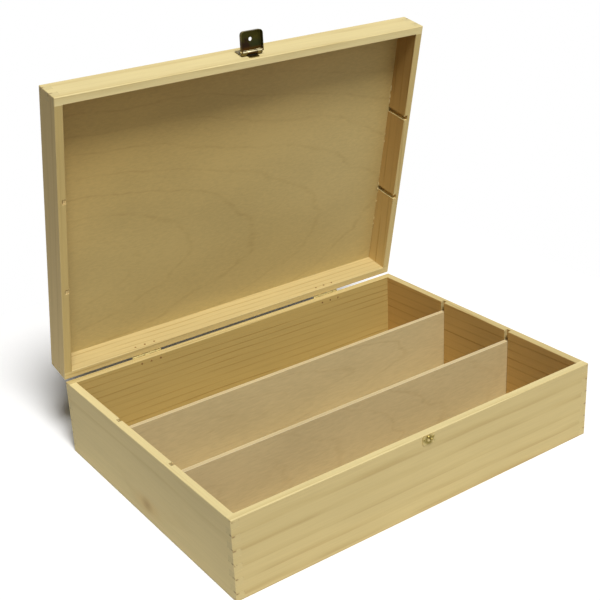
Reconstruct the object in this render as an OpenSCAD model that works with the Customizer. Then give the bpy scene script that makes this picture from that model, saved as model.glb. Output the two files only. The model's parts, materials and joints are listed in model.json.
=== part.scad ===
// Wooden wine box: a comb-jointed carcass sawn into a base and a lid, two loose dividers,
// two nailed knuckle hinges at the back, and a pressed hasp that drops over a stud at the front.
// +X runs along the box, -Y is the front, +Z is up. The origin is the centre of the underside.

/* [Carcass] */
// Length of the box over the side boards
box_length = 360; // [250:1:480]
// Width of the box, front to back
box_width = 262; // [220:1:360]
// Height of the glued carcass, before it is sawn in two
carcass_h = 96; // [90:1:140]
// Thickness of the pine boards
wall_t = 7; // [6:0.5:12]
// Height of the base, from the underside to its rim
base_h = 68.5; // [55:0.5:74]
// Width of the saw cut that parts the lid from the base
saw_kerf = 1.2; // [0.8:0.1:3]
// Gap that stays between the rims when the lid is shut
rim_gap = 0.05; // [0.02:0.01:0.3]
// Small bevel along the outer edges and the rims
arris = 0.4; // [0.1:0.1:1]

/* [Comb joints] */
// Height of the lowest finger
first_finger = 7.2; // [4:0.1:10]
// Height of every finger above it
finger_w = 6; // [4:0.5:10]
// Glue line between two fingers
glue_gap = 0.04; // [0.02:0.01:0.2]

/* [Panels] */
// Thickness of the plywood bottom and lid panels
panel_t = 2.7; // [2:0.1:4]
// How far the panels' rebate is cut into the boards
rebate_d = 3.5; // [2:0.1:4.5]
// Corner radius that the router leaves in the rebate
rebate_r = 3; // [1:0.5:8]
// Gap between a panel's edge and its rebate
panel_gap = 0.1; // [0.05:0.05:0.5]

/* [Dividers] */
// Width of the middle bay, between the two dividers
bay_w = 80; // [70:1:100]
// Thickness of a divider
divider_t = 4; // [3:0.5:6]
// Height of a divider
divider_h = 56; // [30:1:60]
// Depth of the grooves in the side boards
groove_d = 3.5; // [2:0.1:4.5]
// Play of a divider across its groove
groove_play = 0.5; // [0.1:0.1:1]
// Play between a divider's end and the bottom of its groove
divider_end_gap = 0.5; // [0.2:0.1:1.5]
// Gap between a divider's lower edge and the bottom panel
divider_seat_gap = 0.1; // [0.05:0.05:0.3]

/* [Hinges] */
// Distance of each hinge from the middle of the box
hinge_x = 100; // [60:1:105]
// Length of a hinge along its pin
hinge_w = 28.5; // [24:0.5:40]
// Reach of a leaf from the pin's axis
leaf_h = 9.5; // [7:0.5:12]
// Thickness of the hinge sheet
leaf_t = 0.5; // [0.4:0.1:1]
// Corner radius of a leaf
leaf_r = 1.5; // [0.5:0.1:3]
// Diameter of the hinge pin
hinge_pin_d = 1.2; // [1:0.1:3]
// Knuckles on one hinge
knuckle_count = 5; // [3:2:7]
// Gap between neighbouring knuckles
knuckle_gap = 0.25; // [0.1:0.05:0.5]
// Gap between the knuckles and the back boards
knuckle_clear = 0.1; // [0.05:0.05:0.4]
// Spacing of the three nails in a leaf
hinge_nail_pitch = 9.5; // [7:0.5:12]
// Distance of the nails from the pin's axis
hinge_nail_row = 3.6; // [3.4:0.1:6]
// Length that a hinge nail's tip shows inside the box
nail_tip_out = 0.7; // [0.2:0.1:1.5]

/* [Clasp] */
// Thickness of the clasp's sheet
sheet_t = 0.7; // [0.5:0.1:1]
// Diameter of the clasp's pin
clasp_pin_d = 2; // [1.6:0.1:2.6]
// Height of the clasp's pin above the rim
clasp_axis_h = 8; // [6:0.5:12]
// Height of the plate on the lid, above the pin
clasp_plate_h = 11.5; // [8:0.5:14]
// Corner radius of that plate
clasp_plate_r = 1.5; // [0.5:0.1:3]
// Width of the place for the middle knuckle and the tongue behind it
clasp_mid_w = 10; // [6:0.5:12]
// Reach of the tongue below the pin
tongue_h = 5.2; // [3:0.1:5.5]
// Corner radius of the tongue
tongue_r = 1; // [0.3:0.1:2]
// Spacing of the three nails in the plate
clasp_nail_pitch = 6.5; // [5:0.5:9]
// Distance of those nails above the pin
clasp_nail_row = 7; // [5:0.5:9]
// Width of the hasp
hasp_w = 21; // [18:0.5:30]
// Length of the hasp from the pin to its tip
hasp_l = 18.1; // [16:0.1:24]
// Corner radius of the hasp's tip
hasp_r = 3; // [2:0.5:6]
// Gap between the hasp's turned edge and the box
hasp_clear = 0.35; // [0.1:0.05:0.8]
// Distance from the pin's axis at which the hasp's side walls end
hasp_wall_end = 0.3; // [0.1:0.1:1.5]
// Distance of the hasp's hole from the pin
hasp_hole_s = 10.7; // [10:0.1:14]
// Diameter of the hasp's hole
hasp_hole_d = 3.3; // [3:0.1:5]

/* [Keeper] */
// Width of the stud's plate
keeper_w = 12; // [10:0.5:16]
// Height of the stud's plate
keeper_h = 8; // [6:0.5:10]
// Gap between that plate and the rim
keeper_drop = 0.7; // [0.3:0.1:2]
// Corner cut of that plate
keeper_cut = 1.2; // [0.4:0.1:2]
// Play of the stud's head in the hasp's hole, on the radius
stud_play = 0.35; // [0.2:0.05:0.6]
// Length of the stud that shows through the hasp
stud_out = 0.6; // [0.2:0.1:1.5]
// Spacing of the plate's two nails
keeper_nail_pitch = 8.4; // [7:0.1:12]
// How far those nails sit below the stud
keeper_nail_drop = 1; // [0:0.1:2]
// How much wider the stud's head is than its neck, on the radius
stud_lip = 0.25; // [0.1:0.05:0.4]
// Height of the flare at the stud's foot
stud_foot = 0.6; // [0.3:0.1:1]

/* [Nails] */
// Diameter of a nail
nail_d = 1.3; // [1:0.1:1.6]
// Diameter of a nail's head
nail_head_d = 2.4; // [2:0.1:3]
// Thickness of a nail's head
nail_head_t = 0.5; // [0.3:0.1:0.8]
// Length of a nail's point
nail_point = 1.4; // [0.8:0.1:2]
// Depth that the clasp's and keeper's nails go into the board
short_nail_l = 5.5; // [4:0.1:5.8]

/* [Pose] */
// How far the lid stands open
lid_open = 78; // [0:1:100]
// How far the hasp is turned up from its closed place
hasp_open = 102; // [0:1:170]

/* [Hidden] */
$fn = 48;
eps = 0.5;              // overshoot of a cutter past the face it cuts
nail_fit = 0.02;        // play of a nail in wood or sheet, on the radius
nail_tip_d = nail_d / 5;
pin_fit = 0.05;         // running play of a pin in its knuckles, on the radius
pine = "#D8C48C";
plywood = "#C9B68A";
brass = "#B08D3C";

lid_drop = saw_kerf - rim_gap;          // how far the lid comes down after the saw cut
inner_l = box_length - 2 * wall_t;
inner_w = box_width - 2 * wall_t;
recess_l = inner_l + 2 * rebate_d;
recess_w = inner_w + 2 * rebate_d;

finger_count = ceil((carcass_h - first_finger) / finger_w) + 1;

divider_y = (bay_w + divider_t) / 2;
groove_w = divider_t + groove_play;
divider_l = inner_l + 2 * (groove_d - divider_end_gap);

back_y = box_width / 2;
front_y = -box_width / 2;

knuckle_r = hinge_pin_d / 2 + pin_fit + leaf_t;
hinge_y = back_y + knuckle_r + knuckle_clear;
knuckle_pitch = hinge_w / knuckle_count;
knuckle_l = knuckle_pitch - knuckle_gap;
hinge_nail_l = leaf_t + wall_t + nail_tip_out;

curl_r = clasp_pin_d / 2 + pin_fit + sheet_t;
curl_gap = 0.15;        // between the hasp's knuckle and the tongue behind it, and beside it
clasp_axis_d = sheet_t + curl_gap + curl_r;      // from the front face to the pin's axis
clasp_axis_y = front_y - clasp_axis_d;
clasp_axis_z = base_h + clasp_axis_h;
clasp_neck_w = clasp_mid_w - 2 * curl_gap;
clasp_w = hasp_w - 2 * sheet_t - 2 * curl_gap;   // the plate goes between the hasp's side walls
hasp_notch = curl_r + 2 * curl_gap;              // where the hasp's sheet starts beside its knuckle
hasp_depth = clasp_axis_d + curl_r - hasp_clear; // outer face to turned edge

stud_z = clasp_axis_z - hasp_hole_s;
stud_l = clasp_axis_d + curl_r + stud_out;       // from the front face to the stud's end
stud_head_r = hasp_hole_d / 2 - stud_play;
stud_neck_r = stud_head_r - stud_lip;
keeper_z = base_h - keeper_drop - keeper_h / 2;

// ---------- places ----------

// Turns what is drawn with the lid closed into the open lid's place.
module on_lid() {
    translate([0, hinge_y, base_h])
        rotate([-lid_open, 0, 0])
            translate([0, -hinge_y, -base_h])
                children();
}

// Turns what is drawn with the hasp hanging closed into its raised place on the lid.
module on_hasp() {
    on_lid()
        translate([0, clasp_axis_y, clasp_axis_z])
            rotate([-hasp_open, 0, 0])
                children();
}

// Centres of a row of count places, pitch apart.
function row(count, pitch) = [for (i = [0 : count - 1]) (i - (count - 1) / 2) * pitch];

// ---------- outlines ----------

// Rectangle with its middle at the origin and round corners.
module round_rect(l, w, r) {
    square([l - 2 * r, w], center = true);
    square([l, w - 2 * r], center = true);
    for (x = [-1, 1], y = [-1, 1])
        translate([x * (l / 2 - r), y * (w / 2 - r)])
            circle(r);
}

// Tab that hangs from y = 0: square where it starts, with round corners at its far end.
module tab(w, h, r) {
    translate([0, -h / 2])
        round_rect(w, h, r);
    translate([0, -h / 4])
        square([w, h / 2], center = true);
}

// Rectangle with its middle at the origin and its four corners cut off.
module cut_rect(l, w, c) {
    polygon([
        [-l / 2 + c, -w / 2], [l / 2 - c, -w / 2], [l / 2, -w / 2 + c], [l / 2, w / 2 - c],
        [l / 2 - c, w / 2], [-l / 2 + c, w / 2], [-l / 2, w / 2 - c], [-l / 2, -w / 2 + c]
    ]);
}

// Stands an outline drawn in X and Z against the plane y = 0, growing towards -Y.
module stand(t) {
    rotate([90, 0, 0])
        linear_extrude(t)
            children();
}

// ---------- carcass ----------

// The whole block of the box between two heights, with a small bevel on every outer edge.
module bevelled_block(z0, z1) {
    h = z1 - z0;
    intersection() {
        translate([0, 0, z0])
            linear_extrude(h)
                cut_rect(box_length, box_width, arris);
        translate([0, box_width / 2, (z0 + z1) / 2])
            stand(box_width)
                cut_rect(box_length, h, arris);
        translate([-box_length / 2, 0, (z0 + z1) / 2])
            rotate([90, 0, 90])
                linear_extrude(box_length)
                    cut_rect(box_width, h, arris);
    }
}

function finger_low(i) = i == 0 ? 0 : first_finger + (i - 1) * finger_w;
function finger_high(i) = min(first_finger + i * finger_w, carcass_h);

// The slots at both ends of the boards, for every second finger from the one given.
module finger_slots(first) {
    slot = wall_t + eps;
    for (i = [first : 2 : finger_count - 1], x = [-1, 1], y = [-1, 1])
        translate([
            x * (box_length / 2 - wall_t + slot / 2),
            y * (box_width / 2 - wall_t + slot / 2),
            (finger_low(i) + finger_high(i)) / 2
        ])
            cube([slot, slot, finger_high(i) - finger_low(i) + glue_gap], center = true);
}

// The rebate for one panel, routed round the inside after the boards are glued up.
module panel_recess(z0, z1) {
    translate([0, 0, z0])
        linear_extrude(z1 - z0)
            round_rect(recess_l, recess_w, rebate_r);
}

module recesses() {
    panel_recess(-eps, panel_t);
    panel_recess(carcass_h - panel_t, carcass_h + eps);
}

// The grooves for the dividers, sawn up the inside of both side boards.
module divider_grooves() {
    for (x = [-1, 1], y = [-1, 1])
        translate([x * (inner_l / 2 + groove_d / 2 - eps / 2), y * divider_y, carcass_h / 2])
            cube([groove_d + eps, groove_w, carcass_h - panel_t], center = true);
}

// A front or back board at the full height of the carcass; side is -1 in front, 1 at the back.
module long_board(side) {
    difference() {
        translate([0, side * (box_width - wall_t) / 2, carcass_h / 2])
            cube([box_length, wall_t, carcass_h], center = true);
        finger_slots(0);
        recesses();
    }
}

// A left or right board at the full height of the carcass; side is -1 on the left.
module short_board(side) {
    difference() {
        translate([side * (box_length - wall_t) / 2, 0, carcass_h / 2])
            cube([wall_t, box_width, carcass_h], center = true);
        finger_slots(1);
        recesses();
        divider_grooves();
    }
}

// Cutters for the bevel along the inner edge of the rim at height z.
module rim_bevel(z) {
    cut = norm([arris, arris]);
    for (side = [-1, 1]) {
        translate([0, side * inner_w / 2, z])
            rotate([45, 0, 0])
                cube([inner_l, cut, cut], center = true);
        translate([side * inner_l / 2, 0, z])
            rotate([0, 45, 0])
                cube([cut, inner_w, cut], center = true);
    }
}

// What the saw leaves below its cut.
module base_half() {
    difference() {
        intersection() {
            children();
            bevelled_block(0, base_h);
        }
        rim_bevel(base_h);
    }
}

// What the saw leaves above its cut, let down onto the base.
module lid_half() {
    translate([0, 0, -lid_drop])
        difference() {
            intersection() {
                children();
                bevelled_block(base_h + saw_kerf, carcass_h);
            }
            rim_bevel(base_h + saw_kerf);
        }
}

// ---------- nails ----------

// A nail with its head's underside at y = 0 and its point towards +Y.
module nail(l) {
    rotate([-90, 0, 0]) {
        translate([0, 0, -nail_head_t])
            cylinder(d = nail_head_d, h = nail_head_t);
        cylinder(d = nail_d, h = l - nail_point);
        translate([0, 0, l - nail_point])
            cylinder(d1 = nail_d, d2 = nail_tip_d, h = nail_point);
    }
}

module nail_hole(l) {
    translate([0, -eps, 0])
        rotate([-90, 0, 0])
            cylinder(r = nail_d / 2 + nail_fit, h = l + eps);
}

// The nails of one hinge leaf; half is -1 on the base and 1 on the lid.
module at_hinge_nails(side, half) {
    for (x = row(3, hinge_nail_pitch))
        translate([side * hinge_x + x, back_y + leaf_t, base_h + half * hinge_nail_row])
            rotate([0, 0, 180])
                children();
}

module at_clasp_nails() {
    for (x = row(3, clasp_nail_pitch))
        translate([x, front_y - sheet_t, clasp_axis_z + clasp_nail_row])
            children();
}

module at_keeper_nails() {
    for (x = row(2, keeper_nail_pitch))
        translate([x, front_y - sheet_t, stud_z - keeper_nail_drop])
            children();
}

// ---------- base ----------

module base_front_board() {
    color(pine)
        difference() {
            base_half()
                long_board(-1);
            at_keeper_nails()
                nail_hole(sheet_t + short_nail_l);
        }
}

module base_back_board() {
    color(pine)
        difference() {
            base_half()
                long_board(1);
            for (side = [-1, 1])
                at_hinge_nails(side, -1)
                    nail_hole(hinge_nail_l);
        }
}

module base_left_board() {
    color(pine)
        base_half()
            short_board(-1);
}

module base_right_board() {
    color(pine)
        base_half()
            short_board(1);
}

// One plywood panel with its underside at z.
module panel(z) {
    translate([0, 0, z])
        linear_extrude(panel_t)
            round_rect(recess_l - 2 * panel_gap, recess_w - 2 * panel_gap, rebate_r - panel_gap);
}

module bottom_panel() {
    color(plywood)
        panel(0);
}

// One divider; side is -1 for the front one.
module divider(side) {
    z0 = panel_t + divider_seat_gap;
    color(plywood)
        translate([0, side * divider_y, z0 + divider_h / 2])
            cube([divider_l, divider_t, divider_h], center = true);
}

module front_divider() {
    divider(-1);
}

module rear_divider() {
    divider(1);
}

// ---------- lid ----------

module lid_front_board() {
    color(pine)
        on_lid()
            difference() {
                lid_half()
                    long_board(-1);
                at_clasp_nails()
                    nail_hole(sheet_t + short_nail_l);
            }
}

module lid_back_board() {
    color(pine)
        on_lid()
            difference() {
                lid_half()
                    long_board(1);
                for (side = [-1, 1])
                    at_hinge_nails(side, 1)
                        nail_hole(hinge_nail_l);
            }
}

module lid_left_board() {
    color(pine)
        on_lid()
            lid_half()
                short_board(-1);
}

module lid_right_board() {
    color(pine)
        on_lid()
            lid_half()
                short_board(1);
}

module lid_panel() {
    color(plywood)
        on_lid()
            panel(carcass_h - lid_drop - panel_t);
}

// ---------- hinges ----------

// Cylinder along X with its middle at the origin.
module x_rod(d, l) {
    rotate([0, 90, 0])
        cylinder(d = d, h = l, center = true);
}

// One leaf, drawn on the back face with the pin's axis at z = 0 and the leaf below it.
// Its own knuckles are those from first on, by twos; the others' places are cut out of it.
module hinge_leaf(first) {
    places = row(knuckle_count, knuckle_pitch);
    cut_h = knuckle_r + knuckle_gap;
    difference() {
        union() {
            translate([0, leaf_t, 0])
                stand(leaf_t)
                    tab(hinge_w - knuckle_gap, leaf_h, leaf_r);
            for (i = [first : 2 : knuckle_count - 1])
                translate([places[i], hinge_y - back_y, 0])
                    x_rod(2 * knuckle_r, knuckle_l);
        }
        for (i = [1 - first : 2 : knuckle_count - 1])
            translate([places[i] - knuckle_pitch / 2 - knuckle_gap / 2, -eps, -cut_h])
                cube([knuckle_pitch + knuckle_gap, leaf_t + 2 * eps, cut_h + eps]);
        translate([0, hinge_y - back_y, 0])
            x_rod(hinge_pin_d + 2 * pin_fit, hinge_w + 2 * eps);
    }
}

module base_leaf(side) {
    color(brass)
        difference() {
            translate([side * hinge_x, back_y, base_h])
                hinge_leaf(0);
            at_hinge_nails(side, -1)
                nail_hole(hinge_nail_l);
        }
}

module lid_leaf(side) {
    color(brass)
        on_lid()
            difference() {
                translate([side * hinge_x, back_y, base_h])
                    mirror([0, 0, 1])
                        hinge_leaf(1);
                at_hinge_nails(side, 1)
                    nail_hole(hinge_nail_l);
            }
}

module hinge_pin(side) {
    color(brass)
        translate([side * hinge_x, hinge_y, base_h])
            x_rod(hinge_pin_d, hinge_w);
}

module base_hinge_nails(side) {
    color(brass)
        at_hinge_nails(side, -1)
            nail(hinge_nail_l);
}

module lid_hinge_nails(side) {
    color(brass)
        on_lid()
            at_hinge_nails(side, 1)
                nail(hinge_nail_l);
}

// ---------- clasp ----------

// The plate on the lid: a sheet with a curled knuckle at each side, and between them a flat
// tongue that runs on down behind the hasp's own knuckle.
module clasp_plate() {
    side_w = (clasp_w - clasp_mid_w) / 2 - curl_gap;
    color(brass)
        on_lid()
            difference() {
                translate([0, front_y, clasp_axis_z]) {
                    stand(sheet_t) {
                        mirror([0, 1])
                            tab(clasp_w, clasp_plate_h, clasp_plate_r);
                        tab(clasp_neck_w, tongue_h, tongue_r);
                    }
                    for (side = [-1, 1])
                        translate([side * (clasp_w - side_w) / 2, 0, 0])
                            clasp_curl(side_w);
                }
                at_clasp_nails()
                    nail_hole(short_nail_l);
            }
}

// One curled knuckle: the sheet turns away from the lid above the pin and wraps round it.
module clasp_curl(w) {
    difference() {
        union() {
            translate([0, -clasp_axis_d, 0])
                x_rod(2 * curl_r, w);
            translate([0, -clasp_axis_d / 2, curl_r - sheet_t / 2])
                cube([w, clasp_axis_d, sheet_t], center = true);
        }
        translate([0, -clasp_axis_d, 0])
            x_rod(clasp_pin_d + 2 * pin_fit, w + 2 * eps);
    }
}

module clasp_pin() {
    color(brass)
        on_lid()
            translate([0, clasp_axis_y, clasp_axis_z])
                x_rod(clasp_pin_d, clasp_w);
}

module clasp_nails() {
    color(brass)
        on_lid()
            at_clasp_nails()
                nail(sheet_t + short_nail_l);
}

// The tray of the hasp, hanging from the pin's axis at the origin, with its turned edges
// towards +Y. It is open behind and at the pin's end, where its side walls run on past the
// face to cover the ends of the knuckles.
module hasp_tray() {
    wall_l = hasp_l - hasp_wall_end;
    pocket_w = hasp_w - 2 * sheet_t;
    difference() {
        translate([0, hasp_depth - curl_r, -hasp_wall_end])
            stand(hasp_depth)
                tab(hasp_w, wall_l, hasp_r);
        translate([0, hasp_depth - curl_r + eps, eps - hasp_wall_end])
            stand(hasp_depth - sheet_t + eps)
                tab(pocket_w, wall_l - sheet_t + eps, hasp_r - sheet_t);
        translate([-pocket_w / 2, -curl_r - eps, -hasp_notch])
            cube([pocket_w, sheet_t + 2 * eps, hasp_notch]);
    }
}

// The pressed flap: its tray, and a neck that curls round the pin.
module hasp() {
    color(brass)
        on_hasp()
            difference() {
                union() {
                    hasp_tray();
                    translate([0, sheet_t / 2 - curl_r, -hasp_notch / 2])
                        cube([clasp_neck_w, sheet_t, hasp_notch], center = true);
                    x_rod(2 * curl_r, clasp_neck_w);
                }
                x_rod(clasp_pin_d + 2 * pin_fit, clasp_w);
                translate([0, eps - curl_r + sheet_t, -hasp_hole_s])
                    rotate([90, 0, 0])
                        cylinder(d = hasp_hole_d, h = sheet_t + 2 * eps);
            }
}

// The plate on the base and its stud, which has a flared foot, a neck and a domed head.
module keeper_plate() {
    color(brass)
        difference() {
            union() {
                translate([0, front_y, keeper_z])
                    stand(sheet_t)
                        cut_rect(keeper_w, keeper_h, keeper_cut);
                translate([0, front_y - sheet_t / 2, stud_z])
                    rotate([90, 0, 0])
                        stud(stud_l - sheet_t / 2);
            }
            at_keeper_nails()
                nail_hole(short_nail_l);
        }
}

// The stud along Z, from the middle of its plate's sheet to the top of its head.
module stud(l) {
    foot_z = sheet_t / 2;
    head_z = l - stud_head_r;
    rim_h = stud_head_r / 2;
    cylinder(r = stud_head_r + stud_lip, h = foot_z);
    translate([0, 0, foot_z])
        cylinder(r1 = stud_head_r + stud_lip, r2 = stud_neck_r, h = stud_foot);
    cylinder(r = stud_neck_r, h = head_z);
    translate([0, 0, head_z - 2 * rim_h])
        cylinder(r1 = stud_neck_r, r2 = stud_head_r, h = rim_h);
    translate([0, 0, head_z - rim_h])
        cylinder(r = stud_head_r, h = rim_h);
    translate([0, 0, head_z])
        sphere(stud_head_r);
}

module keeper_nails() {
    color(brass)
        at_keeper_nails()
            nail(sheet_t + short_nail_l);
}

// ---------- nodes ----------

base_front_board();
base_back_board();
base_left_board();
base_right_board();
bottom_panel();
front_divider();
rear_divider();
lid_front_board();
lid_back_board();
lid_left_board();
lid_right_board();
lid_panel();
base_leaf(-1);  // left_hinge_base_leaf
lid_leaf(-1);  // left_hinge_lid_leaf
hinge_pin(-1);  // left_hinge_pin
base_hinge_nails(-1);  // left_hinge_base_nails
lid_hinge_nails(-1);  // left_hinge_lid_nails
base_leaf(1);  // right_hinge_base_leaf
lid_leaf(1);  // right_hinge_lid_leaf
hinge_pin(1);  // right_hinge_pin
base_hinge_nails(1);  // right_hinge_base_nails
lid_hinge_nails(1);  // right_hinge_lid_nails
clasp_plate();
clasp_pin();
clasp_nails();
hasp();
keeper_plate();
keeper_nails();
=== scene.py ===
"""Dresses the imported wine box: pine planks with their growth rings, veneered plywood, pressed and
nailed brass, the traces that glue and saw leave, and the studio that the box stands in."""

import itertools
import json
import math
import random
from dataclasses import dataclass

import bmesh
import bpy
from bpy.props import FloatProperty, FloatVectorProperty, IntProperty, PointerProperty
from mathutils import Euler, Matrix, Vector

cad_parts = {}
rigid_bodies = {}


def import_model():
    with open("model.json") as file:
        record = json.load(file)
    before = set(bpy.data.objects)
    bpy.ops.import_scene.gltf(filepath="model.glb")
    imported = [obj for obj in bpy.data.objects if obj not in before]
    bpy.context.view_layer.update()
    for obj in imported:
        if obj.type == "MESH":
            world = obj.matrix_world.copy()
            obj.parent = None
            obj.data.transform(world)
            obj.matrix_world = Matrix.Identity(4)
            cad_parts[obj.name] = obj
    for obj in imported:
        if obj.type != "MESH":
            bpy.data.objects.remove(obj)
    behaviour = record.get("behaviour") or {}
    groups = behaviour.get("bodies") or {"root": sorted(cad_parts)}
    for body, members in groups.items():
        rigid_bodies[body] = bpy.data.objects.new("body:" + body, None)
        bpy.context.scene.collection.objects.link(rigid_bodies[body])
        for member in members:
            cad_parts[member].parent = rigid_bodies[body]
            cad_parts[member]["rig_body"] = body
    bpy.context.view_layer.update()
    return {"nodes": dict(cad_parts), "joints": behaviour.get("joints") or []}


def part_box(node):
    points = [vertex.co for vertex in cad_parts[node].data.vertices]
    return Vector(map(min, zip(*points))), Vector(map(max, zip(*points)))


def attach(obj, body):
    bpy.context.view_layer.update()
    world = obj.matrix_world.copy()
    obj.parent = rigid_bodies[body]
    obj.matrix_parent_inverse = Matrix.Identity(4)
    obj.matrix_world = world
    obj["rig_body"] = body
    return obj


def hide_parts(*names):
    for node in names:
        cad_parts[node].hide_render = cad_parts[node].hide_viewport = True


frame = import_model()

bl_info = {
    "name": "Wooden wine box",
    "version": (1, 0, 0),
    "blender": (4, 5, 0),
    "location": "View3D > Sidebar > Wine Box",
    "description": "Finishes for a comb-jointed pine wine box, and a plain studio for it",
    "category": "Object",
}

MM = 0.001              # one millimetre, in metres

# ---------- what the frame says ----------

JOINTS = {joint["name"]: joint for joint in frame["joints"]}


def joint_turn(name, degrees):
    """The matrix that takes a piece from rest to where its joint stands at that many degrees."""
    joint = JOINTS[name]
    pivot = Matrix.Translation(joint["pos_m"])
    turn = Matrix.Rotation(math.radians(degrees), 4, Vector(joint["axis"]))
    return pivot @ turn @ pivot.inverted()


SHUTTING = joint_turn("lid_hinge", JOINTS["lid_hinge"]["range_deg"][0])   # rest to shut lid
OPENING = SHUTTING.inverted()                                             # shut lid to rest


def shut_box(node):
    """Lowest and highest corner of a packed lid piece, with the lid let down."""
    corners = [SHUTTING @ vertex.co for vertex in frame["nodes"][node].data.vertices]
    return Vector(map(min, *corners)), Vector(map(max, *corners))


CARCASS_HIGH = Vector((
    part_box("base_front_board")[1].x,
    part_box("base_back_board")[1].y,
    shut_box("lid_panel")[1].z,
))
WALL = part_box("base_front_board")[1].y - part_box("base_front_board")[0].y
RIM_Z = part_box("base_front_board")[1].z

# ---------- sizes in millimetres that the frame doesn't hold ----------

FIRST_FINGER = 7.2      # height of the lowest finger of the comb joints
FINGER = 6.0            # height of each finger above it
SAW_LOSS = 1.15         # what the saw cut took out between the base and the shut lid
SHEET = 0.7             # the clasp's sheet
PIN_ROUND = 1.75        # outer radius of the clasp's curled knuckles
HASP_NOTCH = 2.05       # where the hasp's face starts, from the pin's axis
HASP_WALL_END = 0.3     # where its side walls start
HASP_BEND = 0.9         # radius of the bend between its face and its walls
HASP_NECK = 9.7         # width of the hasp's neck
HASP_CORNER = 3.0       # corner radius of the hasp's tip
HASP_HOLE_AT = 10.7     # distance of the hasp's hole from the pin's axis
HASP_HOLE = 3.3         # diameter of that hole


def linear(code):
    """A hex sRGB colour as the linear values that shaders use."""
    channels = [int(code[i:i + 2], 16) / 255 for i in (1, 3, 5)]
    return tuple(c / 12.92 if c <= 0.04045 else ((c + 0.055) / 1.055) ** 2.4 for c in channels)


def colour(name, description, code):
    """A colour property whose default is a hex sRGB code."""
    return FloatVectorProperty(name=name, description=description, subtype="COLOR", size=3,
                               min=0, max=1, default=linear(code))


def length(name, description, millimetres):
    """A length property whose default is given in millimetres."""
    return FloatProperty(name=name, description=description, unit="LENGTH", min=0, precision=5,
                         default=millimetres * MM)


def share(name, description, value):
    """A property from 0 to 1."""
    return FloatProperty(name=name, description=description, subtype="FACTOR", min=0, max=1,
                         default=value)


# ---------- what a user may change ----------

class PineSettings(bpy.types.PropertyGroup):
    """Colours and figure of the pine boards."""
    front: colour("Front plank", "Its planed outer face", "#BEAB76")
    back: colour("Back plank", "Its planed outer face", "#C3B17C")
    left: colour("Left plank", "Its planed outer face", "#D3C088")
    right: colour("Right plank", "Its planed outer face", "#C8B57F")
    # Fresh pine is also laid on the paler lid boards, and towards the hinges inside the lid's side
    # boards, as painted light.
    fresh: colour("Fresh pine", "Rims and grooves that the saw laid open, and the paler boards",
                  "#EDDBA0")
    # Painted shade and light: inner faces are drawn darker and warmer than outer ones; the base's back
    # board darkest, under the leaning lid, the lid's back board paler, where it looks up.
    inner: colour("Inner faces", "The boards' darker inner faces", "#CFAB6A")
    back_inner: colour("Back board inside", "Inner face of the base's back board", "#B79D5D")
    lid_back_inner: colour("Lid's back board inside", "Its inner face", "#CBB57C")
    # Painted shade: drawn inside the lid's side boards towards the lid's front, where the lid's front
    # board shades them.
    painted_shade_pine: colour("Browned pine", "Lid's side boards inside, towards the front", "#AC884C")
    late: colour("Late wood", "What the rings' dark lines leave of the colour", "#CBB98F")
    end: colour("End grain", "The boards' sawn ends, in the comb joints", "#BCAC7B")
    # The stain colour is also drawn along the base's bottom edge, as painted contact shadow.
    stain: colour("Stain", "Torn fibres and glue in the joints", "#755328")
    knot: colour("Knot", "The brown heart of the left plank's knot", "#84612C")
    fibre: length("Fibre width", "Width of the fine streaks along the grain", 1.3)
    late_share: share("Ring strength", "How dark the late wood is drawn", 0.42)


class PlywoodSettings(bpy.types.PropertyGroup):
    """Colours and figure of the plywood panels and dividers."""
    veneer: colour("Veneer", "Peeled face veneer", "#C1AC72")
    divider: colour("Divider veneer", "Paler face veneer of the two dividers", "#C4B184")
    figure: colour("Figure", "What the veneer's dark contour lines leave of the colour", "#BBA076")
    # Painted shade: the browner veneer towards the front of the lid stands for the shadow of the lid's
    # front board.
    warm: colour("Warm veneer", "Browner veneer towards the front of the lid", "#BE8C19")
    edge: colour("Edge", "The face veneers' sawn edge", "#E2D0A6")
    core: colour("Core", "The crossed middle ply, at an edge", "#DCC796")
    glue: colour("Glue line", "Between two plies, at an edge", "#9C8454")
    figure_share: share("Figure strength", "How dark the contour lines are drawn", 0.18)


class BrassSettings(bpy.types.PropertyGroup):
    """Colours of the brass-plated sheet, pins and nails."""
    plating: colour("Plating", "Bright brass plating", "#7E6E3C")
    dull: colour("Dulled plating", "Where handling and air have dulled it", "#544825")
    # Painted highlight along the top of the clasp's barrel.
    painted_light: colour("Rubbed plating", "Pale, on top of the clasp's barrel", "#EFE4BA")
    # Painted shade and painted reflection: the four colours inside the hasp, blended across its
    # hollow.
    tip: colour("Hasp's tip", "Olive, inside the hasp's tip", "#3B3714")
    hollow: colour("Hasp's hollow", "Dark brown, inside the hasp's left half", "#2C1F14")
    right_hollow_shade: colour("Greened hollow", "Grey green, inside the hasp's right half", "#2E3019")
    root: colour("Hasp's root", "Golden brown, inside the hasp by its pin", "#4A300B")
    keeper: colour("Keeper plating", "The keeper's pale, dull plating", "#CDBB84")
    # Painted shade round the keeper's stud; on the keeper's nails it marks dulled patches.
    olive: colour("Olive plating", "Round the keeper's stud, where the hasp rubs", "#86763A")
    aged: colour("Aged pale plating", "Patches on the keeper and the hinges", "#AD9E66")
    hinge: colour("Hinge plating", "The hinges' paler, duller plating", "#CBBA80")
    roughness: share("Roughness", "Roughness of the bright plating", 0.3)
    edge: length("Edge rounding", "Radius of the sheared edges", 0.12)


class TraceSettings(bpy.types.PropertyGroup):
    """The traces that making the box leaves."""
    glue: colour("Dried glue", "Beads squeezed out of the panel's joint", "#D6C48C")
    beads: IntProperty(name="Glue beads", description="Beads along each side of the lid panel",
                       min=0, max=200, default=30)
    burr: length("Burr length", "Longest fibre left at a groove's mouth", 2.2)


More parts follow.
